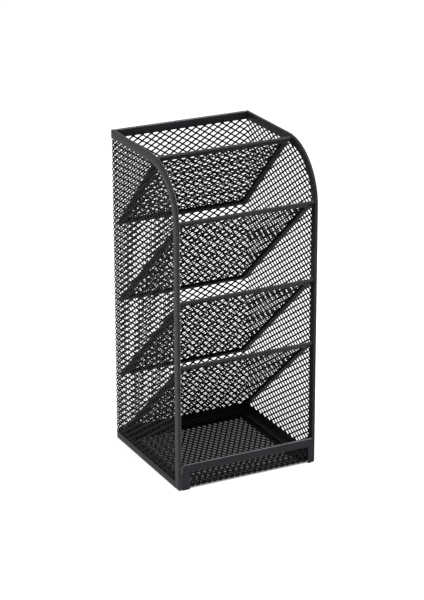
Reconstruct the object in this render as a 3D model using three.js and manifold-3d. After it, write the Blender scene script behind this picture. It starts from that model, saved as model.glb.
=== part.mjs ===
// Upright desk organiser of expanded steel net in folded steel rims.
// A U of three net walls carries four slanted pockets and a floor with a short front lip.
// Millimetres, +X to the right, +Y to the back, +Z up, origin at the centre of the base.
import * as THREE from "three";
import { mergeVertices } from "three/addons/utils/BufferGeometryUtils.js";
import Module from "manifold-3d";

// Overall size, outside to outside
const WIDTH = 100;
const DEPTH = 96.6;
const HEIGHT = 217.5;
const FRONT_CURVE_RADIUS = 39;
const CURVE_STEPS = 12;

// Steel stock, and the gap that pieces keep to each other
const SHEET = 0.5;
const NET_THICKNESS = 0.4;
const RIM_THICKNESS = 2;
const CLEARANCE = 0.3;

// Legs of the wall rims, measured from the rim's outer edge
const RIM_OUTER_LEG = 5.6;
const RIM_INNER_LEG = 5.6;

// Angles round the foot of the walls, and the strips that hold the floor inside them
const BASE_ANGLE_HEIGHT = 5;
const BASE_ANGLE_REACH = 10;
const FLOOR_STRIP_TOP = 7.2;
const FLOOR_STRIP_REACH = 5.3;

// Front lip
const LIP_HEIGHT = 17.8;
const LIP_FRONT_LEG = 5.8;
const LIP_BACK_LEG = 4.4;
const LIP_LEFT_STRIP = 8;
const LIP_RIGHT_STRIP = 5;
const LIP_BEND_RADIUS = 3;
const LIP_BEND_STEPS = 5;

// Pocket frames: both legs of the channel
const POCKET_LEG = 4.8;

// Slanted pockets: how far the front rim's top edge stands behind the front and below the
// organiser's top, and how far the panel falls from there to the back
const TOP_POCKET_SETBACK = 33.8;
const POCKET_SETBACK = 1.6;
const TOP_POCKET_DROP = 1.1;
const TOP_POCKET_FALL = 62.4;
const SECOND_POCKET_DROP = 34.9;
const SECOND_POCKET_FALL = 82.1;
const THIRD_POCKET_DROP = 87.6;
const THIRD_POCKET_FALL = 82.7;

// The lowest pocket starts just above the floor strip and rises from there to its front rim
const LOWEST_POCKET_LIFT = 3.3;
const LOWEST_POCKET_RISE = 80.9;

// Open gaps of the nets: pitch along and across, width of the steel between them,
// plain border that the rims cover, and the smallest gap worth cutting
const GAP_PITCH_LONG = 30;
const GAP_PITCH_SHORT = 20;
const STRAND_WIDTH = 2.6;
const NET_BORDER = 5;
const SMALLEST_GAP_AREA = 12;

// Points nearer than this are one point, and a point this near to a line lies on it
const SAME_POINT = 0.0001;
const TOUCHING = 0.001;

// Lines and faces that several pieces share
const SIDE = WIDTH / 2;
const FRONT = -DEPTH / 2;
const BACK = DEPTH / 2;
const NET_DEPTH_IN_RIM = RIM_THICKNESS / 2;
const NET_EDGE_INSET = SHEET + CLEARANCE;
const NET_INNER_FACE = NET_DEPTH_IN_RIM + NET_THICKNESS / 2;
const INSIDE_HALF_WIDTH = SIDE - RIM_THICKNESS - CLEARANCE;
const BACK_SEAT = BACK - NET_INNER_FACE - CLEARANCE;
const FLOOR_NET_LOW = SHEET + CLEARANCE;
const FLOOR_NET_TOP = FLOOR_NET_LOW + NET_THICKNESS;
const FLOOR_STRIP_LOW = FLOOR_NET_TOP + CLEARANCE;
const FLOOR_STRIP_INNER_Y = BACK_SEAT - SHEET;
const MITRE_GAP = CLEARANCE / Math.SQRT2;

const FLOOR_STRIP_LEG_TOP = FLOOR_STRIP_LOW + SHEET;
const LOWEST_POCKET_HEIGHT = FLOOR_STRIP_LEG_TOP + LOWEST_POCKET_LIFT + LOWEST_POCKET_RISE;

const POCKETS = [
  { setback: TOP_POCKET_SETBACK, rimHeight: HEIGHT - TOP_POCKET_DROP, fall: TOP_POCKET_FALL },
  { setback: POCKET_SETBACK, rimHeight: HEIGHT - SECOND_POCKET_DROP, fall: SECOND_POCKET_FALL },
  { setback: POCKET_SETBACK, rimHeight: HEIGHT - THIRD_POCKET_DROP, fall: THIRD_POCKET_FALL },
  { setback: POCKET_SETBACK, rimHeight: LOWEST_POCKET_HEIGHT, fall: LOWEST_POCKET_RISE },
];

const X = new THREE.Vector3(1, 0, 0);
const Y = new THREE.Vector3(0, 1, 0);
const Z = new THREE.Vector3(0, 0, 1);

const wasm = await Module();
wasm.setup();

const RIM_PAINT = { color: 0x2b2b2f, roughness: 0.5, metalness: 0.3 };
const STRIP_PAINT = { color: 0x29292d, roughness: 0.52, metalness: 0.3 };
const NET_PAINT = { color: 0x1d1d20, roughness: 0.55, metalness: 0.3 };

const organiser = new THREE.Group();

function addPiece(parent, name, geometry, paint) {
  const mesh = new THREE.Mesh(geometry, new THREE.MeshStandardMaterial(paint));
  mesh.name = name;
  parent.add(mesh);
  return mesh;
}

// Turns a piece so that its own x, y and z run along three given directions
function orient(object, along, across, up, origin) {
  object.quaternion.setFromRotationMatrix(new THREE.Matrix4().makeBasis(along, across, up));
  object.position.copy(origin);
}

function toSolid(geometry) {
  const bare = geometry.clone();
  bare.deleteAttribute("normal");
  bare.deleteAttribute("uv");
  const merged = mergeVertices(bare, SAME_POINT);
  return new wasm.Manifold(
    new wasm.Mesh({
      numProp: 3,
      vertProperties: new Float32Array(merged.attributes.position.array),
      triVerts: new Uint32Array(merged.index.array),
    }),
  );
}

function toGeometry(solid) {
  const made = solid.getMesh();
  const geometry = new THREE.BufferGeometry();
  geometry.setAttribute("position", new THREE.BufferAttribute(made.vertProperties, 3));
  geometry.setIndex(new THREE.BufferAttribute(made.triVerts, 1));
  const faceted = geometry.toNonIndexed();
  faceted.computeVertexNormals();
  return faceted;
}

function joined(geometries) {
  return toGeometry(geometries.map(toSolid).reduce((sum, next) => sum.add(next)));
}

function extruded(shape, depth, curveSegments = CURVE_STEPS) {
  return new THREE.ExtrudeGeometry(shape, { depth, bevelEnabled: false, curveSegments });
}

function shapeFrom(points) {
  return new THREE.Shape(points.map(([x, y]) => new THREE.Vector2(x, y)));
}

function areaOf(points) {
  const corners = points.map(([x, y]) => new THREE.Vector2(x, y));
  return corners.length > 2 ? THREE.ShapeUtils.area(corners) : 0;
}

function rectangle(x0, y0, x1, y1) {
  return [
    [x0, y0],
    [x1, y0],
    [x1, y1],
    [x0, y1],
  ];
}

// Folded channel or angle: the profile lies in x, inwards from the edge, and y, from the
// inner leg to the outer leg. It runs along z, and each end is drawn in by its own cut(x, y).
function strip(profile, length, startCut, endCut = startCut) {
  const geometry = extruded(shapeFrom(profile), length);
  geometry.translate(0, 0, -length / 2);
  const place = geometry.getAttribute("position");
  for (let i = 0; i < place.count; i += 1) {
    const cut = place.getZ(i) < 0 ? startCut : endCut;
    const drawnIn = cut(place.getX(i), place.getY(i));
    place.setZ(i, place.getZ(i) - Math.sign(place.getZ(i)) * drawnIn);
  }
  return geometry;
}

const squareCut = () => 0;
const panelMitre = (inwards) => inwards + MITRE_GAP;
const wallMitre = (inwards, outwards) => RIM_THICKNESS / 2 - outwards + MITRE_GAP;

function channelProfile(outerLeg, innerLeg) {
  const face = RIM_THICKNESS / 2;
  return [
    [0, -face],
    [innerLeg, -face],
    [innerLeg, -face + SHEET],
    [SHEET, -face + SHEET],
    [SHEET, face - SHEET],
    [outerLeg, face - SHEET],
    [outerLeg, face],
    [0, face],
  ];
}

// Keeps the part of a convex outline that lies inside another one, both anticlockwise
function clipped(outline, boundary) {
  return boundary.reduce((kept, from, index) => {
    const to = boundary[(index + 1) % boundary.length];
    const side = Math.hypot(to[0] - from[0], to[1] - from[1]);
    const depth = ([x, y]) => {
      const across = (to[0] - from[0]) * (y - from[1]) - (to[1] - from[1]) * (x - from[0]);
      return Math.abs(across) < TOUCHING * side ? 0 : across / side;
    };
    return kept.flatMap((point, i) => {
      const next = kept[(i + 1) % kept.length];
      const here = depth(point);
      const share = here / (here - depth(next));
      const crossing = point.map((value, axis) => value + share * (next[axis] - value));
      const start = here >= 0 ? [point] : [];
      return here * depth(next) < 0 ? [...start, crossing] : start;
    });
  }, outline);
}

// Flat net: a plate with diamond gaps, their long way along x
function net(outline, gapLimit) {
  const halfLong = GAP_PITCH_LONG / 2;
  const halfShort = GAP_PITCH_SHORT / 2;
  const edgeDistance = (halfLong * halfShort) / Math.hypot(halfLong, halfShort);
  const shrink = 1 - STRAND_WIDTH / 2 / edgeDistance;
  const plate = shapeFrom(outline);
  const box = new THREE.Box2().setFromPoints(plate.getPoints());
  const middle = box.getCenter(new THREE.Vector2());
  const columns = Math.ceil((box.max.x - box.min.x) / GAP_PITCH_LONG) + 1;
  const rows = Math.ceil((box.max.y - box.min.y) / GAP_PITCH_SHORT) + 1;
  const gaps = [];
  for (let row = -rows; row <= rows; row += 1) {
    for (let column = -columns; column <= columns; column += 1) {
      if ((row + column) % 2 !== 0) continue;
      const x = middle.x + column * halfLong;
      const y = middle.y + row * halfShort;
      const diamond = [
        [x + halfLong * shrink, y],
        [x, y + halfShort * shrink],
        [x - halfLong * shrink, y],
        [x, y - halfShort * shrink],
      ];
      const gap = clipped(diamond, gapLimit);
      if (areaOf(gap) > SMALLEST_GAP_AREA) gaps.push(shapeFrom(gap));
    }
  }
  const cutters = extruded(gaps, NET_THICKNESS + 2 * CLEARANCE);
  cutters.translate(0, 0, -CLEARANCE);
  return toGeometry(toSolid(extruded(plate, NET_THICKNESS)).subtract(toSolid(cutters)));
}

// Side wall seen from the right, y across and z up, drawn in from the outer edge
function sideOutline(inset, back, bottom) {
  const radius = FRONT_CURVE_RADIUS - inset;
  const centreY = FRONT + FRONT_CURVE_RADIUS;
  const centreZ = HEIGHT - FRONT_CURVE_RADIUS;
  const curve = [];
  for (let step = 0; step <= CURVE_STEPS; step += 1) {
    const angle = Math.PI / 2 + (step / CURVE_STEPS) * (Math.PI / 2);
    curve.push([centreY + radius * Math.cos(angle), centreZ + radius * Math.sin(angle)]);
  }
  return [[back, HEIGHT - inset], ...curve, [FRONT + inset, bottom], [back, bottom]];
}

// One leg or the web of a side rim: the band between two insets, open at back and foot
function sideBand(outerInset, innerInset) {
  const outer = sideOutline(outerInset, BACK, 0).slice(0, -1);
  const inner = sideOutline(innerInset, BACK, 0).slice(0, -1);
  return shapeFrom([...outer, ...inner.reverse()]);
}

// Side rim with its outer leg towards +z of its own frame, mitred at the back
function sideRim() {
  const outerLeg = extruded(sideBand(0, RIM_OUTER_LEG), SHEET);
  outerLeg.translate(0, 0, RIM_THICKNESS / 2 - SHEET);
  const web = extruded(sideBand(0, SHEET), RIM_THICKNESS);
  web.translate(0, 0, -RIM_THICKNESS / 2);
  const innerLeg = extruded(sideBand(0, RIM_INNER_LEG), SHEET);
  innerLeg.translate(0, 0, -RIM_THICKNESS / 2);
  const geometry = joined([outerLeg, web, innerLeg]);
  const place = geometry.getAttribute("position");
  for (let i = 0; i < place.count; i += 1) {
    const atBack = place.getX(i) > BACK - SHEET / 2;
    if (atBack) place.setX(i, BACK - wallMitre(0, place.getZ(i)));
  }
  return geometry;
}

// Mirror image along the geometry's own z, with its faces still pointing out
function mirrored(geometry) {
  const copy = geometry.clone().scale(1, 1, -1);
  const place = copy.getAttribute("position");
  for (let i = 0; i < place.count; i += 3) {
    const second = new THREE.Vector3().fromBufferAttribute(place, i + 1);
    const third = new THREE.Vector3().fromBufferAttribute(place, i + 2);
    place.setXYZ(i + 1, ...third);
    place.setXYZ(i + 2, ...second);
  }
  copy.computeVertexNormals();
  return copy;
}

function addWallNets() {
  const backNetFace = BACK - NET_DEPTH_IN_RIM + NET_THICKNESS / 2;
  const outline = sideOutline(NET_EDGE_INSET, backNetFace, FLOOR_NET_LOW);
  const gapLimit = sideOutline(NET_BORDER, backNetFace - NET_THICKNESS - STRAND_WIDTH, NET_BORDER);
  const sideNet = net(outline, gapLimit);
  const left = addPiece(organiser, "left_wall_mesh", sideNet, NET_PAINT);
  orient(left, Y, Z, X, new THREE.Vector3(-SIDE + NET_DEPTH_IN_RIM - NET_THICKNESS / 2, 0, 0));
  const right = addPiece(organiser, "right_wall_mesh", sideNet.clone(), NET_PAINT);
  orient(right, Y, Z, X, new THREE.Vector3(SIDE - NET_INNER_FACE, 0, 0));

  const halfWidth = SIDE - NET_INNER_FACE - CLEARANCE;
  const backNet = net(
    rectangle(-halfWidth, FLOOR_NET_LOW, halfWidth, HEIGHT - NET_EDGE_INSET),
    rectangle(-halfWidth + STRAND_WIDTH, NET_BORDER, halfWidth - STRAND_WIDTH, HEIGHT - NET_BORDER),
  );
  const back = addPiece(organiser, "back_wall_mesh", backNet, NET_PAINT);
  orient(back, X, Z, Y.clone().negate(), new THREE.Vector3(0, backNetFace, 0));
}

function addWallRims() {
  const rim = sideRim();
  const right = addPiece(organiser, "right_side_rim", rim, RIM_PAINT);
  orient(right, Y, Z, X, new THREE.Vector3(SIDE - RIM_THICKNESS / 2, 0, 0));
  const left = addPiece(organiser, "left_side_rim", mirrored(rim), RIM_PAINT);
  orient(left, Y, Z, X, new THREE.Vector3(-SIDE + RIM_THICKNESS / 2, 0, 0));

  const backRim = strip(channelProfile(RIM_OUTER_LEG, RIM_INNER_LEG), WIDTH, wallMitre);
  const back = addPiece(organiser, "back_top_rim", backRim, RIM_PAINT);
  orient(back, Z.clone().negate(), Y, X, new THREE.Vector3(0, BACK - RIM_THICKNESS / 2, HEIGHT));
}

// Angle with one leg up the outside of a wall and one under the floor, mitred in plan.
// Its own x runs inwards across the floor, y up and z along the wall.
function baseAngle(length, frontCut) {
  const profile = [
    [0, 0],
    [BASE_ANGLE_REACH, 0],
    [BASE_ANGLE_REACH, SHEET],
    [SHEET, SHEET],
    [SHEET, BASE_ANGLE_HEIGHT],
    [0, BASE_ANGLE_HEIGHT],
  ];
  return strip(profile, length, frontCut, panelMitre);
}

// Angle inside the walls with one leg up the wall and one over the floor's net
function floorStrip(length, frontCut) {
  const profile = [
    [0, FLOOR_STRIP_LOW],
    [FLOOR_STRIP_REACH, FLOOR_STRIP_LOW],
    [FLOOR_STRIP_REACH, FLOOR_STRIP_LEG_TOP],
    [SHEET, FLOOR_STRIP_LEG_TOP],
    [SHEET, FLOOR_STRIP_TOP],
    [0, FLOOR_STRIP_TOP],
  ];
  return strip(profile, length, frontCut, panelMitre);
}

// A left, right and back run of one angle round the foot of the walls
function addFootRuns(makeRun, names, halfWidth, front, back) {
  const sideLength = back - front;
  const sideMiddle = (front + back) / 2;
  const left = addPiece(organiser, names.left, mirrored(makeRun(sideLength, squareCut)), STRIP_PAINT);
  orient(left, X, Z, Y.clone().negate(), new THREE.Vector3(-halfWidth, sideMiddle, 0));
  const right = addPiece(organiser, names.right, makeRun(sideLength, squareCut), STRIP_PAINT);
  orient(right, X.clone().negate(), Z, Y, new THREE.Vector3(halfWidth, sideMiddle, 0));
  const rear = addPiece(organiser, names.back, makeRun(2 * halfWidth, panelMitre), STRIP_PAINT);
  orient(rear, Y.clone().negate(), Z, X.clone().negate(), new THREE.Vector3(0, back, 0));
}

function addFoot() {
  addFootRuns(
    baseAngle,
    { left: "left_base_angle", right: "right_base_angle", back: "back_base_angle" },
    SIDE,
    FRONT + RIM_OUTER_LEG + CLEARANCE,
    BACK,
  );
  addFootRuns(
    floorStrip,
    { left: "floor_left_strip", right: "floor_right_strip", back: "floor_back_strip" },
    SIDE - NET_INNER_FACE - CLEARANCE,
    FRONT + RIM_INNER_LEG + CLEARANCE,
    BACK_SEAT,
  );
}

function addFloor() {
  const front = FRONT + NET_DEPTH_IN_RIM + LIP_BEND_RADIUS + CLEARANCE;
  const floorNet = net(
    rectangle(-INSIDE_HALF_WIDTH, front, INSIDE_HALF_WIDTH, BACK_SEAT),
    rectangle(
      -INSIDE_HALF_WIDTH + NET_BORDER,
      front + STRAND_WIDTH,
      INSIDE_HALF_WIDTH - NET_BORDER,
      BACK_SEAT - NET_BORDER,
    ),
  );
  const floor = addPiece(organiser, "floor_mesh", floorNet, NET_PAINT);
  floor.position.z = FLOOR_NET_LOW;
}

// Quarter bend of the net from the floor up into the lip, y across and z up
function lipBend() {
  const centreY = FRONT + NET_DEPTH_IN_RIM + LIP_BEND_RADIUS;
  const centreZ = FLOOR_NET_LOW + NET_THICKNESS / 2 + LIP_BEND_RADIUS;
  const shape = new THREE.Shape();
  shape.absarc(centreY, centreZ, LIP_BEND_RADIUS + NET_THICKNESS / 2, Math.PI, 1.5 * Math.PI, false);
  shape.absarc(centreY, centreZ, LIP_BEND_RADIUS - NET_THICKNESS / 2, 1.5 * Math.PI, Math.PI, true);
  const bend = extruded(shape, 2 * INSIDE_HALF_WIDTH, LIP_BEND_STEPS);
  bend.translate(0, 0, -INSIDE_HALF_WIDTH);
  bend.applyMatrix4(new THREE.Matrix4().makeBasis(Y, Z, X));
  return { bend, centreZ };
}

function addLip() {
  const { bend, centreZ } = lipBend();
  const netTop = LIP_HEIGHT - NET_EDGE_INSET;
  const upright = net(
    rectangle(-INSIDE_HALF_WIDTH, centreZ, INSIDE_HALF_WIDTH, netTop),
    rectangle(
      -SIDE + LIP_LEFT_STRIP - SHEET,
      centreZ + STRAND_WIDTH / 2,
      SIDE - LIP_RIGHT_STRIP + SHEET,
      LIP_HEIGHT - LIP_FRONT_LEG + SHEET,
    ),
  );
  const netBackFace = FRONT + NET_DEPTH_IN_RIM + NET_THICKNESS / 2;
  upright.applyMatrix4(new THREE.Matrix4().makeBasis(X, Z, Y.clone().negate()));
  upright.translate(0, netBackFace, 0);
  addPiece(organiser, "lip_mesh", joined([upright, bend]), NET_PAINT);

  const rimProfile = channelProfile(LIP_FRONT_LEG, LIP_BACK_LEG);
  const rim = addPiece(
    organiser,
    "lip_top_rim",
    strip(rimProfile, 2 * INSIDE_HALF_WIDTH, squareCut),
    RIM_PAINT,
  );
  const rimOrigin = new THREE.Vector3(0, FRONT + RIM_THICKNESS / 2, LIP_HEIGHT);
  orient(rim, Z.clone().negate(), Y.clone().negate(), X.clone().negate(), rimOrigin);

  const stripTop = LIP_HEIGHT - LIP_FRONT_LEG - CLEARANCE;
  addLipStrip("lip_left_strip", -INSIDE_HALF_WIDTH, -SIDE + LIP_LEFT_STRIP, stripTop);
  addLipStrip("lip_right_strip", SIDE - LIP_RIGHT_STRIP, INSIDE_HALF_WIDTH, stripTop);
}

// Flat strip on the front of the lip's net, with its foot resting on the table
function addLipStrip(name, left, right, top) {
  const plate = extruded(shapeFrom(rectangle(left, 0, right, top)), SHEET);
  const piece = addPiece(organiser, name, plate, STRIP_PAINT);
  orient(piece, X, Z, Y.clone().negate(), new THREE.Vector3(0, FRONT + SHEET, 0));
}

// One slanted pocket, built flat: x across, y up the slope to the front, z underneath
function addPocket(number, { setback, rimHeight, fall }) {
  const besideFloorStrip = rimHeight - fall < FLOOR_STRIP_TOP + RIM_THICKNESS;
  const seatY = besideFloorStrip ? FLOOR_STRIP_INNER_Y - CLEARANCE : BACK_SEAT;
  const rimY = FRONT + setback;
  const run = seatY - rimY;
  const length = Math.hypot(run, fall);
  const upSlope = new THREE.Vector3(0, -run / length, fall / length);
  const under = new THREE.Vector3().crossVectors(X, upSlope);
  const middle = new THREE.Vector3(0, (seatY + rimY) / 2, rimHeight - fall / 2);
  const pocket = new THREE.Group();
  orient(pocket, X, upSlope, under, middle.addScaledVector(under, RIM_THICKNESS / 2));
  organiser.add(pocket);

  const halfWidth = INSIDE_HALF_WIDTH;
  const halfLength = length / 2;
  const netHalfWidth = halfWidth - NET_EDGE_INSET;
  const netHalfLength = halfLength - NET_EDGE_INSET;
  const gapHalfWidth = halfWidth - NET_BORDER;
  const panel = net(
    rectangle(-netHalfWidth, -netHalfLength, netHalfWidth, netHalfLength),
    rectangle(-gapHalfWidth, -halfLength + NET_BORDER, gapHalfWidth, halfLength - NET_BORDER),
  );
  const panelPiece = addPiece(pocket, `pocket_${number}_mesh`, panel, NET_PAINT);
  panelPiece.position.z = -NET_THICKNESS / 2;

  const profile = channelProfile(POCKET_LEG, POCKET_LEG);
  const minusX = X.clone().negate();
  const minusY = Y.clone().negate();
  const frame = [
    ["front_rim", 2 * halfWidth, minusY, minusX, new THREE.Vector3(0, halfLength, 0), RIM_PAINT],
    ["left_edge", length, X, minusY, new THREE.Vector3(-halfWidth, 0, 0), STRIP_PAINT],
    ["right_edge", length, minusX, Y, new THREE.Vector3(halfWidth, 0, 0), STRIP_PAINT],
    ["bottom_edge", 2 * halfWidth, Y, X, new THREE.Vector3(0, -halfLength, 0), STRIP_PAINT],
  ];
  for (const [name, run, inwards, along, origin, paint] of frame) {
    const piece = addPiece(pocket, `pocket_${number}_${name}`, strip(profile, run, panelMitre), paint);
    orient(piece, inwards, Z, along, origin);
  }
}

addWallNets();
addWallRims();
addFoot();
addFloor();
addLip();
POCKETS.forEach((pocket, index) => addPocket(index + 1, pocket));

export default organiser;
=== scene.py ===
"""Looks of an upright desk organiser: black expanded steel net in folded, powder-coated rims."""
import math

import bmesh
import bpy
from mathutils import Matrix, Vector


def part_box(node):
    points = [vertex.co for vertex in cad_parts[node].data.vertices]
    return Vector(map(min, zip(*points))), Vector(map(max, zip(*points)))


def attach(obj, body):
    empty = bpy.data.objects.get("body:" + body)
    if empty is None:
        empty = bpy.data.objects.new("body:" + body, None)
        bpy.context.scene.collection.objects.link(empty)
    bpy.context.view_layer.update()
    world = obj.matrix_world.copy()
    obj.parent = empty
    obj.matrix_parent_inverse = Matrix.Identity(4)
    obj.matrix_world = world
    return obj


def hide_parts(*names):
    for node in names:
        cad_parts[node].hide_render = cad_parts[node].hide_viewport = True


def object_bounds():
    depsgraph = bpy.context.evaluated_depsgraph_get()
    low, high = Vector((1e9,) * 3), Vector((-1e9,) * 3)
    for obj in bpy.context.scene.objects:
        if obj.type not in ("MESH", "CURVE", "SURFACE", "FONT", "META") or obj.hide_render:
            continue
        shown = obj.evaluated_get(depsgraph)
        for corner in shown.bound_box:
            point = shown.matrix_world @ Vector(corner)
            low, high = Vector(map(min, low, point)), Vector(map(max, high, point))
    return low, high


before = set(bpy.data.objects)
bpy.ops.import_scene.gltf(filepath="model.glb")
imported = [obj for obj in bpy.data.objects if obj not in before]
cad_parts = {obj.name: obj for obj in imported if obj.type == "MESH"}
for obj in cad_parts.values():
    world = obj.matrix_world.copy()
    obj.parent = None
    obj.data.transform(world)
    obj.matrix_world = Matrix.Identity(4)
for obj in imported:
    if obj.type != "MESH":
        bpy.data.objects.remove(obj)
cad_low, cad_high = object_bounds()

MM = 0.001
QUARTER = math.pi / 2

X = Vector((1, 0, 0))
Y = Vector((0, 1, 0))
Z = Vector((0, 0, 1))

# Sizes read from the frame
SIDE = cad_high.x
FRONT = cad_low.y
BACK = cad_high.y
TOP = cad_high.z
RIM_LOW, RIM_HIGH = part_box("left_side_rim")
HALF_RIM = (RIM_HIGH.x - RIM_LOW.x) / 2
RIM_OUTER_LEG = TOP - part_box("back_top_rim")[0].z
BASE_STRIP_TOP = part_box("left_base_angle")[1].z
BASE_STRIP_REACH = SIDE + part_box("left_base_angle")[1].x
FLOOR_STRIP_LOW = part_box("floor_left_strip")[0].z
FLOOR_STRIP_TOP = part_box("floor_left_strip")[1].z
FLOOR_STRIP_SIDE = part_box("floor_right_strip")[1].x
FLOOR_STRIP_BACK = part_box("floor_back_strip")[1].y
FLOOR_STRIP_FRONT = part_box("floor_left_strip")[0].y
FLOOR_STRIP_REACH = FLOOR_STRIP_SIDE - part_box("floor_right_strip")[0].x
FLOOR_LEVEL = (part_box("floor_mesh")[0].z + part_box("floor_mesh")[1].z) / 2
LIP_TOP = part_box("lip_top_rim")[1].z
LIP_FRONT_LEG = LIP_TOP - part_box("lip_top_rim")[0].z
LIP_LEFT_STRIP_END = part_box("lip_left_strip")[1].x
LIP_RIGHT_STRIP_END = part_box("lip_right_strip")[0].x
POCKET_HALF_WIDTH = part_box("pocket_2_right_edge")[1].x

# Sizes of the folded steel
SHEET = 0.5 * MM
CURVE_RADIUS = 39 * MM
RIM_INNER_LEG = 5.6 * MM
LIP_BACK_LEG = 4.4 * MM
POCKET_LEG = 4.8 * MM
FOLD_RADIUS = 0.6 * MM
INNER_FOLD_RADIUS = 0.2 * MM
CUT_EDGE_RADIUS = 0.18 * MM
STRIP_CORNER_RADIUS = 1.2 * MM
LIP_CORNER_RADIUS = 2.4 * MM
SHEARED_CORNER_RADIUS = CUT_EDGE_RADIUS / 9
TRIMMED_CORNER_RADIUS = 4 * CUT_EDGE_RADIUS
FOOT_ROUNDING = 1.2 * MM
FOOT_NARROWING = 0.8

# Steps in which bends are drawn, and how meshes are closed and shaded
FOLD_STEPS = 5
CUT_EDGE_STEPS = 2
CORNER_STEPS = 6
LIP_CORNER_STEPS = 8
CURVE_STEPS = 36
FOOT_STEPS = 6
DOUBLES_APART = 0.001 * MM
SMOOTH_UP_TO = math.radians(35)

# Painted highlight on the folds, standing for the glint of light on them: full on the folds that catch
# the light, faint on the others
FULL_FOLD_HIGHLIGHT = 1
FAINT_FOLD_HIGHLIGHT = 0.1

# Expanded net: pitch, sheet, and each strand's width, lean out of the net's plane, length of
# the bond that it shares with the next strand, and share of its width that lies in the bond.
# The widths are set by how dark each net looks
MESH_LONG = 6.5 * MM
MESH_SHORT = 4.12 * MM
NET_SHEET = 0.34 * MM
STRAND_WIDTH = 1.2 * MM
LEFT_STRAND_WIDTH = 1.06 * MM
POCKET_STRAND_WIDTH = 1.27 * MM
STRAND_LEAN = 0.14 * MM
BOND = 0.3 * MM
BOND_OVERLAP = 0.8
COLUMNS_PER_CELL = 4
ROWS_PER_STRAND = 2
NET_DOUBLES_APART = 0.01 * MM

# Where each net's pattern starts, along it and across it
LEFT_SHIFT = (0.34 * MM, 1.45 * MM)
WALL_SHIFT = (-1.27 * MM, -0.63 * MM)
TRAY_SHIFT = (0, 0)
PANEL_SHIFTS = (
    (-0.4 * MM, -0.4 * MM),
    (-0.7 * MM, -0.8 * MM),
    (-1.3 * MM, -0.5 * MM),
    (-0.4 * MM, -0.8 * MM),
)
NET_EDGE_INSET = 2.5 * MM
WALL_NET_DEPTH = 0.56 * MM
LEFT_NET_DEPTH = 0.42 * MM
WALL_BEND_RADIUS = 0.7 * MM
LIP_BEND_RADIUS = 1.1 * MM


class Nodes:
    """A node tree. Every node comes from add, and values may be numbers, links or link lists."""

    def __init__(self, tree):
        self.tree = tree

    def add(self, kind, settings=None, values=None, output=0):
        node = self.tree.nodes.new(kind)
        for name, value in (settings or {}).items():
            setattr(node, name, value)
        for socket, value in (values or {}).items():
            self.feed(node.inputs[socket], value)
        return Link(self, node.outputs[output]) if node.outputs else None

    def feed(self, socket, value):
        if isinstance(value, list):
            for link in value:
                self.feed(socket, link)
        elif isinstance(value, Link):
            self.tree.links.new(value.socket, socket)
        else:
            socket.default_value = value


class Link:
    """A node's output, on which operators add Math nodes."""

    def __init__(self, nodes, socket):
        self.nodes = nodes
        self.socket = socket

    def math(self, operation, *others):
        values = dict(enumerate((self, *others)))
        return self.nodes.add("ShaderNodeMath", {"operation": operation}, values)

    def other(self, name):
        return Link(self.nodes, self.socket.node.outputs[name])

    def __add__(self, other):
        return self.math("ADD", other)

    def __radd__(self, other):
        return self + other

    def __sub__(self, other):
        return self.math("SUBTRACT", other)

    def __rsub__(self, other):
        return self * -1 + other

    def __mul__(self, other):
        return self.math("MULTIPLY", other)

    def __rmul__(self, other):
        return self * other

    def __truediv__(self, other):
        return self.math("DIVIDE", other)

    def __mod__(self, other):
        return self.math("FLOORED_MODULO", other)

    def __gt__(self, other):
        return self.math("GREATER_THAN", other)

    def floor(self):
        return self.math("FLOOR")

    def rounded(self):
        return self.math("ROUND")

    def size(self):
        return self.math("ABSOLUTE")

    def least(self, other):
        return self.math("MINIMUM", other)

    def most(self, other):
        return self.math("MAXIMUM", other)

    def between(self, low, high):
        return self.most(low).least(high)

    def sine(self):
        return self.math("SINE")

    def cosine(self):
        return self.math("COSINE")


# Finishes

RIM_COLOUR = (0.0145, 0.0137, 0.0168)
STRIP_COLOUR = (0.0135, 0.0127, 0.0157)
NET_COLOUR = (0.007, 0.0066, 0.0079)
# Lighter colour painted on the folds as a highlight
PAINTED_HIGHLIGHT_COLOUR = (0.08, 0.08, 0.085)
LIGHTEST = 2
DARKEST = 0.35
CLOUDS_PER_METRE = 55
CLOUD_TINT = 0.6
PEEL_TINT = 0.4
CLOUD_SHINE = 0.1
PEEL_SHINE = 0.08
LEAST_FOLD_HIGHLIGHT = 0.6
CLOUD_FOLD_HIGHLIGHT = 0.8
PEEL_DEPTH = 0.05 * MM
HIGHLIGHT_COAT_ROUGHNESS = 0.25


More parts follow.
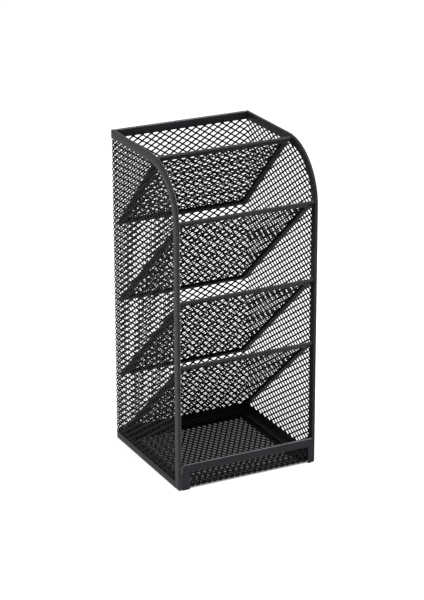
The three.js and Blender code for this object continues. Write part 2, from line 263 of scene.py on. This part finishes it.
def powder_coat(name, colour, roughness, sheen, grain):
    """Satin powder coat: a fine orange peel, uneven colour and sheen, and a painted highlight on the
    folds, made of a lighter colour and a glossy coat.
    """
    material = bpy.data.materials.new(name)
    material.use_nodes = True
    tree = material.node_tree
    tree.nodes.clear()
    nodes = Nodes(tree)
    place = nodes.add("ShaderNodeTexCoord").other("Object")
    peel = nodes.add(
        "ShaderNodeTexNoise",
        None,
        {"Vector": place, "Scale": 1 / grain, "Detail": 2, "Roughness": 0.6},
    )
    cloud = nodes.add(
        "ShaderNodeTexNoise",
        None,
        {"Vector": place, "Scale": CLOUDS_PER_METRE, "Detail": 3, "Roughness": 0.5},
    )
    worn = nodes.add("ShaderNodeAttribute", {"attribute_name": "worn"}, output=2)
    light = [value * LIGHTEST for value in colour]
    dark = [value * DARKEST for value in colour]
    tint = nodes.add(
        "ShaderNodeMix",
        {"data_type": "RGBA"},
        {0: cloud * CLOUD_TINT + peel * PEEL_TINT, 6: (*dark, 1), 7: (*light, 1)},
        output=2,
    )
    # Painted highlight: the folds get the lighter colour and a glossy coat, unevenly with the clouds
    painted_highlight = worn * (cloud * CLOUD_FOLD_HIGHLIGHT + LEAST_FOLD_HIGHLIGHT)
    coat = nodes.add(
        "ShaderNodeMix",
        {"data_type": "RGBA"},
        {0: painted_highlight, 6: tint, 7: (*PAINTED_HIGHLIGHT_COLOUR, 1)},
        output=2,
    )
    bump = nodes.add(
        "ShaderNodeBump", None, {"Strength": 0.8, "Distance": PEEL_DEPTH, "Height": peel}
    )
    middle_shine = (CLOUD_SHINE + PEEL_SHINE) / 2
    shine = cloud * CLOUD_SHINE + peel * PEEL_SHINE + (roughness - middle_shine)
    shader = nodes.add(
        "ShaderNodeBsdfPrincipled",
        None,
        {
            "Base Color": coat,
            "Roughness": shine,
            "Normal": bump,
            "Specular IOR Level": sheen,
            "Coat Weight": painted_highlight,
            "Coat Roughness": HIGHLIGHT_COAT_ROUGHNESS,
        },
    )
    nodes.add("ShaderNodeOutputMaterial", None, {"Surface": shader})
    return material


RIM_PAINT = powder_coat("rim_powder_coat", RIM_COLOUR, roughness=0.42, sheen=0.1, grain=0.5 * MM)
STRIP_PAINT = powder_coat("strip_powder_coat", STRIP_COLOUR, roughness=0.42, sheen=0.1, grain=0.5 * MM)
NET_PAINT = powder_coat("net_powder_coat", NET_COLOUR, roughness=0.45, sheen=0.03, grain=0.4 * MM)


# Folded steel


def rounded(corners):
    """Closed outline of (x, y, highlight) from (x, y, radius, highlight) corners, all right angles;
    highlight is the share of painted fold highlight.
    """
    outline = []
    for index, (x, y, radius, highlight) in enumerate(corners):
        corner = Vector((x, y))
        before = (Vector(corners[index - 1][:2]) - corner).normalized()
        after = (Vector(corners[(index + 1) % len(corners)][:2]) - corner).normalized()
        centre = corner + (before + after) * radius
        is_fold = radius > CUT_EDGE_RADIUS + INNER_FOLD_RADIUS
        steps = FOLD_STEPS if is_fold else CUT_EDGE_STEPS
        for step in range(steps + 1):
            turn = QUARTER * step / steps
            point = centre - (after * math.cos(turn) + before * math.sin(turn)) * radius
            # Painted highlight, strongest in the middle of each bend
            outline.append((*point, highlight * math.sin(2 * turn)))
    return outline


def channel_profile(outer_leg, inner_leg, inner_highlight=FULL_FOLD_HIGHLIGHT, outer_highlight=FAINT_FOLD_HIGHLIGHT):
    """U section: x runs in from the edge, y from the inner leg to the outer leg, with a painted
    highlight on its two bends.
    """
    return rounded([
        (0, -HALF_RIM, FOLD_RADIUS, inner_highlight),
        (inner_leg, -HALF_RIM, CUT_EDGE_RADIUS, 0),
        (inner_leg, SHEET - HALF_RIM, CUT_EDGE_RADIUS, 0),
        (SHEET, SHEET - HALF_RIM, INNER_FOLD_RADIUS, 0),
        (SHEET, HALF_RIM - SHEET, INNER_FOLD_RADIUS, 0),
        (outer_leg, HALF_RIM - SHEET, CUT_EDGE_RADIUS, 0),
        (outer_leg, HALF_RIM, CUT_EDGE_RADIUS, 0),
        (0, HALF_RIM, FOLD_RADIUS, outer_highlight),
    ])


def angle_profile(reach, low, high):
    """L section: x runs in from the wall, y up, with the flat leg at the bottom and a faint painted
    highlight on its bend and top edge.
    """
    return rounded([
        (0, low, FOLD_RADIUS, FAINT_FOLD_HIGHLIGHT),
        (reach, low, CUT_EDGE_RADIUS, 0),
        (reach, low + SHEET, CUT_EDGE_RADIUS, 0),
        (SHEET, low + SHEET, INNER_FOLD_RADIUS, 0),
        (SHEET, high, CUT_EDGE_RADIUS, FAINT_FOLD_HIGHLIGHT),
        (0, high, CUT_EDGE_RADIUS, 0),
    ])


def add_piece(name, mesh, paint, slot, *nodes):
    """Links a finished mesh as a piece on the body and lets it stand for its CAD nodes."""
    mesh.materials.clear()
    mesh.materials.append(paint)
    piece = bpy.data.objects.new(name, mesh)
    bpy.context.scene.collection.objects.link(piece)
    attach(piece, "root")
    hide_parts(*nodes)


def closed_mesh(name, vertices, highlight, faces):
    """Mesh with its doubles merged, its faces pointing out and its folds smooth, carrying the painted
    fold highlight.
    """
    mesh = bpy.data.meshes.new(name)
    mesh.from_pydata(vertices, [], faces)
    # The painted fold highlight is kept as a point attribute
    mesh.attributes.new("worn", "FLOAT", "POINT").data.foreach_set("value", highlight)
    work = bmesh.new()
    work.from_mesh(mesh)
    bmesh.ops.remove_doubles(work, verts=work.verts, dist=DOUBLES_APART)
    bmesh.ops.recalc_face_normals(work, faces=work.faces)
    work.to_mesh(mesh)
    work.free()
    mesh.shade_smooth()
    mesh.set_sharp_from_angle(angle=SMOOTH_UP_TO)
    return mesh


def sweep(name, profile, stations):
    """Closed body of one section along stations, each of which places a section point."""
    vertices = [station(x, y) for station in stations for x, y, _ in profile]
    highlight = [share for _, _, share in profile] * len(stations)
    count = len(profile)
    last = len(vertices) - count
    faces = [list(range(count)), list(range(last, last + count))]
    for ring in range(0, last, count):
        for i in range(count):
            j = (i + 1) % count
            faces.append([ring + i, ring + j, ring + count + j, ring + count + i])
    return closed_mesh(name, vertices, highlight, faces)


def corner_stations(corner, first_in, second_in, up, radius, start, end, steps=CORNER_STEPS):
    """Stations round a right-angled corner of a path, from one share of the turn to another."""

    def station(turn):
        def place(inset, rise):
            reach = max(radius - inset, 0)
            centre = corner + (first_in + second_in) * max(radius, inset)
            spoke = first_in * math.cos(turn) + second_in * math.sin(turn)
            return centre - spoke * reach + up * rise
        return place

    first = round(start * steps)
    last = round(end * steps)
    return [station(QUARTER * step / steps) for step in range(first, last + 1)]


def end_station(point, inwards, up):
    """Station square to the path, at its end or on a mitre."""
    return lambda inset, rise: point + inwards * inset + up * rise


# Wall rims


def side_rim(name, side, inner_highlight):
    """Channel along the top edge, round the quarter curve and down the front to the base."""
    centre_y = FRONT + CURVE_RADIUS
    centre_z = TOP - CURVE_RADIUS
    across = side * (SIDE - HALF_RIM)

    def at_back(inset, rise):
        return Vector((across + side * rise, BACK - HALF_RIM + rise, TOP - inset))

    def on_curve(turn):
        def place(inset, rise):
            reach = CURVE_RADIUS - inset
            y = centre_y - reach * math.sin(turn)
            return Vector((across + side * rise, y, centre_z + reach * math.cos(turn)))
        return place

    def at_foot(turn):
        height = FOOT_ROUNDING * (1 - math.sin(turn))
        drawn_in = FOOT_ROUNDING * (1 - math.cos(turn))

        def place(inset, rise):
            from_inside = (rise + HALF_RIM) / (2 * HALF_RIM)
            x = across + side * (rise - FOOT_NARROWING * drawn_in * from_inside)
            y = FRONT + drawn_in + inset * (1 - drawn_in / RIM_INNER_LEG)
            return Vector((x, y, height))
        return place

    curve = [on_curve(QUARTER * step / CURVE_STEPS) for step in range(CURVE_STEPS + 1)]
    foot = [at_foot(QUARTER * step / FOOT_STEPS) for step in range(FOOT_STEPS + 1)]
    profile = channel_profile(RIM_OUTER_LEG, RIM_INNER_LEG, inner_highlight)
    mesh = sweep(name, profile, [at_back, *curve, *foot])
    add_piece(name + "_folded", mesh, RIM_PAINT, "rim_paint", name)


def back_rim():
    def at_side(side):
        def place(inset, rise):
            across = side * (SIDE - HALF_RIM + rise)
            return Vector((across, BACK - HALF_RIM + rise, TOP - inset))
        return place

    profile = channel_profile(RIM_OUTER_LEG, RIM_INNER_LEG)
    mesh = sweep("back_top_rim", profile, [at_side(-1), at_side(1)])
    add_piece("back_top_rim_folded", mesh, RIM_PAINT, "rim_paint", "back_top_rim")


# Foot angles and floor strips


def foot_runs(profile, half_width, front, back, radius, names):
    """Left, back and right run of an angle round the foot, meeting in the back corners."""
    left_corner = Vector((-half_width, back, 0))
    right_corner = Vector((half_width, back, 0))
    left = [end_station(Vector((-half_width, front, 0)), X, Z)]
    left += corner_stations(left_corner, X, -Y, Z, radius, 0, 0.5)
    rear = corner_stations(left_corner, X, -Y, Z, radius, 0.5, 1)
    rear += corner_stations(right_corner, -Y, -X, Z, radius, 0, 0.5)
    right = corner_stations(right_corner, -Y, -X, Z, radius, 0.5, 1)
    right += [end_station(Vector((half_width, front, 0)), -X, Z)]
    for name, stations in zip(names, (left, rear, right)):
        mesh = sweep(name, profile, stations)
        add_piece(name + "_folded", mesh, STRIP_PAINT, "strip_paint", name)


def foot():
    foot_runs(
        angle_profile(BASE_STRIP_REACH, 0, BASE_STRIP_TOP),
        SIDE,
        FRONT + RIM_OUTER_LEG,
        BACK,
        STRIP_CORNER_RADIUS,
        ("left_base_angle", "back_base_angle", "right_base_angle"),
    )
    foot_runs(
        angle_profile(FLOOR_STRIP_REACH, FLOOR_STRIP_LOW, FLOOR_STRIP_TOP),
        FLOOR_STRIP_SIDE,
        FLOOR_STRIP_FRONT,
        FLOOR_STRIP_BACK,
        STRIP_CORNER_RADIUS / 2,
        ("floor_left_strip", "floor_back_strip", "floor_right_strip"),
    )


# Front lip


def lip_rim():
    """Channel along the lip's top, turned down at its left end."""
    left = HALF_RIM * 2 - SIDE
    middle_y = FRONT + HALF_RIM
    corner = Vector((left, middle_y, LIP_TOP))
    start = end_station(Vector((left, middle_y, LIP_TOP - LIP_FRONT_LEG)), X, -Y)
    turn = corner_stations(corner, X, -Z, -Y, LIP_CORNER_RADIUS, 0, 1, LIP_CORNER_STEPS)
    end = end_station(Vector((-left, middle_y, LIP_TOP)), -Z, -Y)
    # Painted highlight in full on the front fold, faint on the back one
    profile = channel_profile(LIP_FRONT_LEG, LIP_BACK_LEG, FAINT_FOLD_HIGHLIGHT, FULL_FOLD_HIGHLIGHT)
    mesh = sweep("lip_top_rim", profile, [start, *turn, end])
    add_piece("lip_top_rim_folded", mesh, RIM_PAINT, "rim_paint", "lip_top_rim")


def lip_strip(name, left, right, left_radius, right_radius):
    """Flat strip on the lip's net, with rounded bottom corners and softened edges."""
    top = LIP_TOP - LIP_FRONT_LEG
    outline = rounded([
        (left, 0, left_radius, 0),
        (right, 0, right_radius, 0),
        (right, top, SHEARED_CORNER_RADIUS, 0),
        (left, top, SHEARED_CORNER_RADIUS, 0),
    ])
    middle = Vector(((left + right) / 2, top))
    half = Vector(((right - left) / 2, top))

    def at_depth(depth, drawn_in):
        def place(x, z):
            across = middle.x + (x - middle.x) * (1 - drawn_in / half.x)
            height = middle.y + (z - middle.y) * (1 - drawn_in / half.y)
            return Vector((across, depth, height))
        return place

    third = CUT_EDGE_RADIUS / 3
    stations = [
        at_depth(FRONT + SHEET, 0),
        at_depth(FRONT + CUT_EDGE_RADIUS, 0),
        at_depth(FRONT + third, third),
        at_depth(FRONT, CUT_EDGE_RADIUS),
    ]
    mesh = sweep(name, outline, stations)
    add_piece(name + "_plate", mesh, STRIP_PAINT, "strip_paint", name)


def lip():
    lip_rim()
    inner = SIDE - 2 * HALF_RIM
    round_end = STRIP_CORNER_RADIUS
    square_end = TRIMMED_CORNER_RADIUS
    lip_strip("lip_left_strip", -inner, LIP_LEFT_STRIP_END, round_end, square_end)
    lip_strip("lip_right_strip", LIP_RIGHT_STRIP_END, inner, square_end, round_end)


# Slanted pockets


def farthest(node, axis):
    """The vertex of a CAD node that lies farthest along an axis."""
    return max((vertex.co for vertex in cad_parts[node].data.vertices), key=lambda co: co[axis])


class Slope:
    """Plane of one pocket: its middle, the way up to the front rim, and the way under."""

    def __init__(self, number):
        rim = farthest(f"pocket_{number}_front_rim", 2)
        seat = farthest(f"pocket_{number}_bottom_edge", 1)
        rim_line = Vector((0, rim.y, rim.z))
        seat_line = Vector((0, seat.y, seat.z))
        self.up = (rim_line - seat_line).normalized()
        self.under = X.cross(self.up)
        self.half_length = (rim_line - seat_line).length / 2
        self.middle = (rim_line + seat_line) / 2 + self.under * HALF_RIM


def pocket_frame(number, slope):
    """Four channels round a pocket's panel, mitred at the corners."""
    profile = channel_profile(POCKET_LEG, POCKET_LEG)
    directions = {"front_rim": slope.up, "left_edge": -X, "bottom_edge": -slope.up, "right_edge": X}
    reach = {"front_rim": slope.half_length, "bottom_edge": slope.half_length}
    names = list(directions)
    for index, name in enumerate(names):
        outwards = directions[name]
        before = directions[names[index - 1]]
        after = directions[names[(index + 1) % len(names)]]
        away = reach.get(name, POCKET_HALF_WIDTH)
        along = reach.get(names[index - 1], POCKET_HALF_WIDTH)

        def mitre(side):
            corner = slope.middle + outwards * away + side * along
            return end_station(corner, -(outwards + side), slope.under)

        is_rim = name == "front_rim"
        paint, slot = (RIM_PAINT, "rim_paint") if is_rim else (STRIP_PAINT, "strip_paint")
        node = f"pocket_{number}_{name}"
        mesh = sweep(node, profile, [mitre(before), mitre(after)])
        add_piece(node + "_folded", mesh, paint, slot, node)


# Expanded nets

NET_INPUTS = {
    "Columns": "NodeSocketInt",
    "Rows": "NodeSocketInt",
    "Long Pitch": "NodeSocketFloat",
    "Short Pitch": "NodeSocketFloat",
    "Bond": "NodeSocketFloat",
    "Bond Overlap": "NodeSocketFloat",
    "Strand Width": "NodeSocketFloat",
    "Strand Lean": "NodeSocketFloat",
    "Sheet": "NodeSocketFloat",
    "Shift Along": "NodeSocketFloat",
    "Shift Across": "NodeSocketFloat",
    "Paint": "NodeSocketMaterial",
}


def split(nodes):
    """The coordinates of each point or face: along, across and out of the net."""
    place = nodes.add("GeometryNodeInputPosition")
    parts = nodes.add("ShaderNodeSeparateXYZ", None, {0: place})
    return parts, parts.other("Y"), parts.other("Z")


def vector(nodes, x, y, z):
    return nodes.add("ShaderNodeCombineXYZ", None, {0: x, 1: y, 2: z})


def drawn_net(nodes, sizes):
    """Open strip mesh of the net, flat on its long way and leaning strand by strand."""
    long_pitch = sizes.other("Long Pitch")
    short_half = sizes.other("Short Pitch") * 0.5
    last_column = sizes.other("Columns") * COLUMNS_PER_CELL
    last_row = sizes.other("Rows") * ROWS_PER_STRAND - 1
    grid = nodes.add(
        "GeometryNodeMeshGrid",
        None,
        {
            "Size X": last_column,
            "Size Y": last_row,
            "Vertices X": last_column + 1,
            "Vertices Y": last_row + 1,
        },
    )
    x, y, _ = split(nodes)
    column = x + last_column * 0.5
    row = y + last_row * 0.5
    gap = row.floor() % ROWS_PER_STRAND
    strands = nodes.add(
        "GeometryNodeDeleteGeometry", {"domain": "FACE"}, {"Geometry": grid, "Selection": gap > 0.5}
    )
    column = column.rounded()
    row = row.rounded()
    period = (column / COLUMNS_PER_CELL).floor()
    quarter = column % COLUMNS_PER_CELL
    half_turn = (quarter / 2).floor()
    strand = (row / ROWS_PER_STRAND).floor()
    edge = row % ROWS_PER_STRAND
    peak = (half_turn - strand % 2).size()
    along = (period + half_turn * 0.5 - sizes.other("Columns") * 0.5) * long_pitch
    along = along + (quarter % 2) * sizes.other("Bond") + sizes.other("Shift Along")
    across = (strand + peak - sizes.other("Rows") * 0.5) * short_half
    side = edge - peak + (peak - 0.5) * sizes.other("Bond Overlap")
    across = across + side * sizes.other("Strand Width") + sizes.other("Shift Across")
    out = side * sizes.other("Strand Lean")
    spot = vector(nodes, along, across, out)
    placed = nodes.add("GeometryNodeSetPosition", None, {"Geometry": strands, "Position": spot})
    return nodes.add(
        "GeometryNodeMergeByDistance", None, {"Geometry": placed, "Distance": NET_DOUBLES_APART}
    )


def thickened(nodes, sizes, surface):
    """Closed body of the sheet's thickness, square to the strands and centred on them."""
    width = sizes.other("Strand Width")
    lean = sizes.other("Strand Lean")
    share = sizes.other("Sheet") / (width * width + lean * lean).math("SQRT")
    step = vector(nodes, 0.0, lean * share * -1, width * share)
    half_back = vector(nodes, 0.0, lean * share * 0.5, width * share * -0.5)
    shell = nodes.add(
        "GeometryNodeExtrudeMesh", None, {"Mesh": surface, "Offset": step, "Individual": False}
    )
    back = nodes.add("GeometryNodeFlipFaces", None, {"Mesh": surface})
    both = nodes.add("GeometryNodeJoinGeometry", None, {"Geometry": [shell, back]})
    body = nodes.add(
        "GeometryNodeMergeByDistance", None, {"Geometry": both, "Distance": NET_DOUBLES_APART}
    )
    return nodes.add("GeometryNodeSetPosition", None, {"Geometry": body, "Offset": half_back})


def net_piece(name, strand_width, shift, length, width, margin, place, replaced, mirrored=False):
    """Expanded net cut to where margin is positive and laid by place, made once as a mesh."""
    tree = bpy.data.node_groups.new(name + "_tree", "GeometryNodeTree")
    for label, kind in NET_INPUTS.items():
        tree.interface.new_socket(label, in_out="INPUT", socket_type=kind)
    tree.interface.new_socket("Net", in_out="OUTPUT", socket_type="NodeSocketGeometry")
    nodes = Nodes(tree)
    sizes = nodes.add("NodeGroupInput")
    surface = drawn_net(nodes, sizes)
    along, across, _ = split(nodes)
    outside = margin(along, across) * -1 > 0
    trimmed = nodes.add(
        "GeometryNodeDeleteGeometry", {"domain": "FACE"}, {"Geometry": surface, "Selection": outside}
    )
    body = thickened(nodes, sizes, trimmed)
    laid = nodes.add(
        "GeometryNodeSetPosition", None, {"Geometry": body, "Position": place(nodes, *split(nodes))}
    )
    if mirrored:
        laid = nodes.add("GeometryNodeFlipFaces", None, {"Mesh": laid})
    real = nodes.add("GeometryNodeRealizeInstances", None, {"Geometry": laid})
    painted = nodes.add(
        "GeometryNodeSetMaterial", None, {"Geometry": real, "Material": sizes.other("Paint")}
    )
    nodes.add("NodeGroupOutput", None, {"Net": painted})

    values = {
        "Columns": math.ceil(length / MESH_LONG) + 1,
        "Rows": 2 * (math.ceil(width / MESH_SHORT) + 1),
        "Long Pitch": MESH_LONG,
        "Short Pitch": MESH_SHORT,
        "Strand Width": strand_width,
        "Strand Lean": STRAND_LEAN,
        "Bond": BOND,
        "Bond Overlap": BOND_OVERLAP,
        "Sheet": NET_SHEET,
        "Shift Along": shift[0],
        "Shift Across": shift[1],
        "Paint": NET_PAINT,
    }
    base = bpy.data.objects.new(name + "_base", bpy.data.meshes.new(name + "_base"))
    bpy.context.scene.collection.objects.link(base)
    maker = base.modifiers.new("Expanded net", "NODES")
    maker.node_group = tree
    for item in tree.interface.items_tree:
        if item.in_out == "INPUT":
            maker[item.identifier] = values[item.name]
    made = base.evaluated_get(bpy.context.evaluated_depsgraph_get())
    mesh = bpy.data.meshes.new_from_object(made)
    bpy.data.objects.remove(base)
    mesh.name = name
    add_piece(name, mesh, NET_PAINT, "net_paint", *replaced)


def wall_margin(from_front, height):
    """How far inside the side rim's curve and the base strip's edge a point of a wall lies."""
    before_curve = (CURVE_RADIUS - from_front).most(0)
    above_curve = (height - (TOP - CURVE_RADIUS)).most(0)
    reach = (before_curve * before_curve + above_curve * above_curve).math("SQRT")
    return (CURVE_RADIUS - NET_EDGE_INSET - reach).least(height - (BASE_STRIP_TOP - NET_EDGE_INSET))


def left_wall_net():
    """Flat net of the left wall, which runs on to the back corner."""
    length = BACK - FRONT
    middle_y = (BACK + FRONT) / 2
    middle_z = TOP / 2
    edge = length / 2 - CUT_EDGE_RADIUS

    def margin(along, across):
        return wall_margin(along + length / 2, across + middle_z).least(along * -1 + edge)

    def place(nodes, along, across, out):
        x = out * -1 - (SIDE - LEFT_NET_DEPTH)
        return vector(nodes, x, along.least(edge) + middle_y, across + middle_z)

    name = "left_wall_expanded_net"
    replaced = ("left_wall_mesh",)
    net_piece(name, LEFT_STRAND_WIDTH, LEFT_SHIFT, length, TOP, margin, place, replaced, mirrored=True)


def wall_net():
    """One net bent round the right back corner: back wall and right wall."""
    half_width = SIDE - WALL_NET_DEPTH
    leg = BACK - WALL_NET_DEPTH - FRONT - WALL_BEND_RADIUS
    bend = QUARTER * WALL_BEND_RADIUS
    rear = half_width * 2 - WALL_BEND_RADIUS
    length = rear + bend + leg
    start = -length / 2
    middle_z = TOP / 2

    def margin(along, across):
        inside = wall_margin(along * -1 + length / 2, across + middle_z)
        return inside.least(along + length / 2)

    def place(nodes, along, across, out):
        run = (along - start).most(0)
        turn = ((run - rear) / WALL_BEND_RADIUS).between(0, QUARTER)
        x = run.least(rear) - half_width + turn.sine() * WALL_BEND_RADIUS + out * turn.sine()
        y = out * turn.cosine() - (1 - turn.cosine()) * WALL_BEND_RADIUS
        y = y - (run - rear - bend).most(0) + (BACK - WALL_NET_DEPTH)
        return vector(nodes, x, y, across + middle_z)

    name = "wall_expanded_net"
    replaced = ("back_wall_mesh", "right_wall_mesh")
    net_piece(name, STRAND_WIDTH, WALL_SHIFT, length, TOP, margin, place, replaced, mirrored=True)


def floor_net():
    """One net for the floor and the lip, bent up along the front edge."""
    half_width = POCKET_HALF_WIDTH
    floor_run = FLOOR_STRIP_BACK - (FRONT + HALF_RIM) - LIP_BEND_RADIUS
    bend = QUARTER * LIP_BEND_RADIUS
    lip_run = LIP_TOP - NET_EDGE_INSET - FLOOR_LEVEL - LIP_BEND_RADIUS
    length = floor_run + bend + lip_run
    start = -length / 2

    def margin(along, across):
        return (along.size() * -1 + length / 2).least(across.size() * -1 + half_width)

    def place(nodes, along, across, out):
        run = along - start
        turn = ((run - floor_run) / LIP_BEND_RADIUS).between(0, QUARTER)
        y = run.least(floor_run) * -1 - turn.sine() * LIP_BEND_RADIUS + FLOOR_STRIP_BACK
        z = (1 - turn.cosine()) * LIP_BEND_RADIUS + (run - floor_run - bend).most(0) + FLOOR_LEVEL
        return vector(nodes, across, y + out * turn.sine(), z + out * turn.cosine())

    name = "floor_expanded_net"
    replaced = ("floor_mesh", "lip_mesh")
    width = 2 * half_width
    net_piece(name, STRAND_WIDTH, TRAY_SHIFT, length, width, margin, place, replaced)


def pocket_net(number, slope):
    """Flat net of one panel. The top pocket's runs crosswise, and the others' up the slope."""
    half_width = POCKET_HALF_WIDTH - NET_EDGE_INSET
    half_length = slope.half_length - NET_EDGE_INSET
    crosswise = number == 1
    half_along = half_width if crosswise else half_length
    half_across = half_length if crosswise else half_width
    outwards = slope.under if crosswise else -slope.under

    def margin(along, across):
        return (along.size() * -1 + half_along).least(across.size() * -1 + half_across)

    def place(nodes, along, across, out):
        to_side, up = (along, across) if crosswise else (across, along)
        y = up * slope.up.y + out * outwards.y + slope.middle.y
        z = up * slope.up.z + out * outwards.z + slope.middle.z
        return vector(nodes, to_side, y, z)

    name = f"pocket_{number}_expanded_net"
    replaced = (f"pocket_{number}_mesh",)
    shift = PANEL_SHIFTS[number - 1]
    length = 2 * half_along
    width = 2 * half_across
    net_piece(name, POCKET_STRAND_WIDTH, shift, length, width, margin, place, replaced)


# Studio

WHITE = (1, 1, 1, 1)
WORLD_LIGHT = 0.55
BACKDROP_LIGHT = 1.0
TABLE_REACH = 3
TABLE_COLOUR = (0.8, 0.8, 0.8, 1)
# Painted shade on the table under the organiser: its colour, how much of the glow it takes away, and how
# wide its edge fades
PAINTED_SHADE_COLOUR = (0.2, 0.2, 0.2, 1)
PAINTED_SHADE_DIMMING = 0.8
PAINTED_SHADE_EDGE = 3 * MM
TABLE_GLOW = 0.5
LAMPS_AIM = Vector((0, 0, 0.1))


def studio_camera():
    """Camera from the front left and above, where the object was seen."""
    azimuth = math.radians(-26.7819)
    elevation = math.radians(20.7358)
    roll = math.radians(-0.1432)
    distance = 1512.976 * MM
    aside = -1.5059 * MM
    raised = 53.5397 * MM
    focal_share = 2279.35 / 600
    aim = Vector((0, 0, 50 * MM))
    back = Vector((
        math.sin(azimuth) * math.cos(elevation),
        -math.cos(azimuth) * math.cos(elevation),
        math.sin(elevation),
    ))
    right = Vector((math.cos(azimuth), math.sin(azimuth), 0))
    up = back.cross(right)
    data = bpy.data.cameras.new("studio_camera")
    data.sensor_width = 36
    data.lens = focal_share * data.sensor_width
    data.clip_start = 0.1
    data.clip_end = 20
    camera = bpy.data.objects.new("studio_camera", data)
    turned_right = right * math.cos(roll) + up * math.sin(roll)
    turned_up = up * math.cos(roll) - right * math.sin(roll)
    axes = Matrix((turned_right, turned_up, back)).transposed().to_4x4()
    shift = turned_right * aside + turned_up * raised
    camera.matrix_world = Matrix.Translation(aim + back * distance + shift) @ axes
    bpy.context.scene.collection.objects.link(camera)
    bpy.context.scene.camera = camera


def seen_or_mirrored(nodes):
    """1 for what the camera sees, directly or in a reflection, and 0 for lighting rays."""
    path = nodes.add("ShaderNodeLightPath")
    seen = path.other("Is Camera Ray") + path.other("Is Glossy Ray") + path.other("Is Transmission Ray")
    return seen.least(1)


def studio_world():
    world = bpy.data.worlds.new("studio_world")
    world.use_nodes = True
    world.node_tree.nodes.clear()
    nodes = Nodes(world.node_tree)
    lighting = nodes.add("ShaderNodeBackground", None, {"Color": WHITE, "Strength": WORLD_LIGHT})
    backdrop = nodes.add("ShaderNodeBackground", None, {"Color": WHITE, "Strength": BACKDROP_LIGHT})
    both = nodes.add("ShaderNodeMixShader", None, {0: seen_or_mirrored(nodes), 1: lighting, 2: backdrop})
    nodes.add("ShaderNodeOutputWorld", None, {"Surface": both})
    bpy.context.scene.world = world


def studio_floor():
    """White table that keeps the shadow, with a painted shade under the organiser: a darker colour and
    less glow.
    """
    reach = TABLE_REACH
    mesh = bpy.data.meshes.new("studio_floor")
    corners = [(-reach, -reach, 0), (reach, -reach, 0), (reach, reach, 0), (-reach, reach, 0)]
    mesh.from_pydata(corners, [], [(0, 1, 2, 3)])
    material = bpy.data.materials.new("studio_white")
    material.use_nodes = True
    material.node_tree.nodes.clear()
    nodes = Nodes(material.node_tree)
    place = nodes.add("ShaderNodeTexCoord").other("Object")
    parts = nodes.add("ShaderNodeSeparateXYZ", None, {0: place})
    inside_x = parts.size() * -1 + SIDE
    inside_y = parts.other("Y").size() * -1 + BACK
    # Painted shade: 1 under the organiser's footprint, fading out over its edge
    under = (inside_x.least(inside_y) / PAINTED_SHADE_EDGE).between(0, 1)
    colour = nodes.add(
        "ShaderNodeMix",
        {"data_type": "RGBA"},
        {0: under, 6: TABLE_COLOUR, 7: PAINTED_SHADE_COLOUR},
        output=2,
    )
    diffuse = nodes.add("ShaderNodeBsdfDiffuse", None, {"Color": colour})
    strength = (1 - under * PAINTED_SHADE_DIMMING) * seen_or_mirrored(nodes) * TABLE_GLOW
    glow = nodes.add("ShaderNodeEmission", None, {"Color": WHITE, "Strength": strength})
    both = nodes.add("ShaderNodeAddShader", None, {0: diffuse, 1: glow})
    nodes.add("ShaderNodeOutputMaterial", None, {"Surface": both})
    mesh.materials.append(material)
    floor = bpy.data.objects.new("studio_floor", mesh)
    bpy.context.scene.collection.objects.link(floor)


def softbox(name, place, size, power):
    """Rectangular lamp turned towards the organiser's middle."""
    data = bpy.data.lights.new(name, "AREA")
    data.shape = "RECTANGLE"
    data.size, data.size_y = size
    data.energy = power
    lamp = bpy.data.objects.new(name, data)
    aim = LAMPS_AIM - Vector(place)
    lamp.matrix_world = Matrix.Translation(place) @ aim.to_track_quat("-Z", "Y").to_matrix().to_4x4()
    bpy.context.scene.collection.objects.link(lamp)


def studio_lamps():
    softbox("key_softbox", place=(-0.5, -1.1, 1.5), size=(1.2, 1.2), power=13)
    softbox("left_softbox", place=(-1.3, 0.1, 0.45), size=(0.8, 1.1), power=0.3)
    softbox("top_softbox", place=(0, -0.2, 1.3), size=(0.5, 0.3), power=3)
    softbox("right_softbox", place=(0.6, -0.5, 1.2), size=(0.5, 0.5), power=6)
    softbox("side_softbox", place=(1.2, 0.35, 0.35), size=(0.6, 0.8), power=3)


# The left rim's inner fold gets the full painted highlight, the right rim's a faint one
side_rim("left_side_rim", -1, FULL_FOLD_HIGHLIGHT)
side_rim("right_side_rim", 1, FAINT_FOLD_HIGHLIGHT)
back_rim()
foot()
lip()
left_wall_net()
wall_net()
floor_net()
for pocket in (1, 2, 3, 4):
    pocket_slope = Slope(pocket)
    pocket_frame(pocket, pocket_slope)
    pocket_net(pocket, pocket_slope)
studio_camera()
studio_world()
studio_floor()
studio_lamps()

scene = bpy.context.scene
scene.view_settings.view_transform = "Standard"
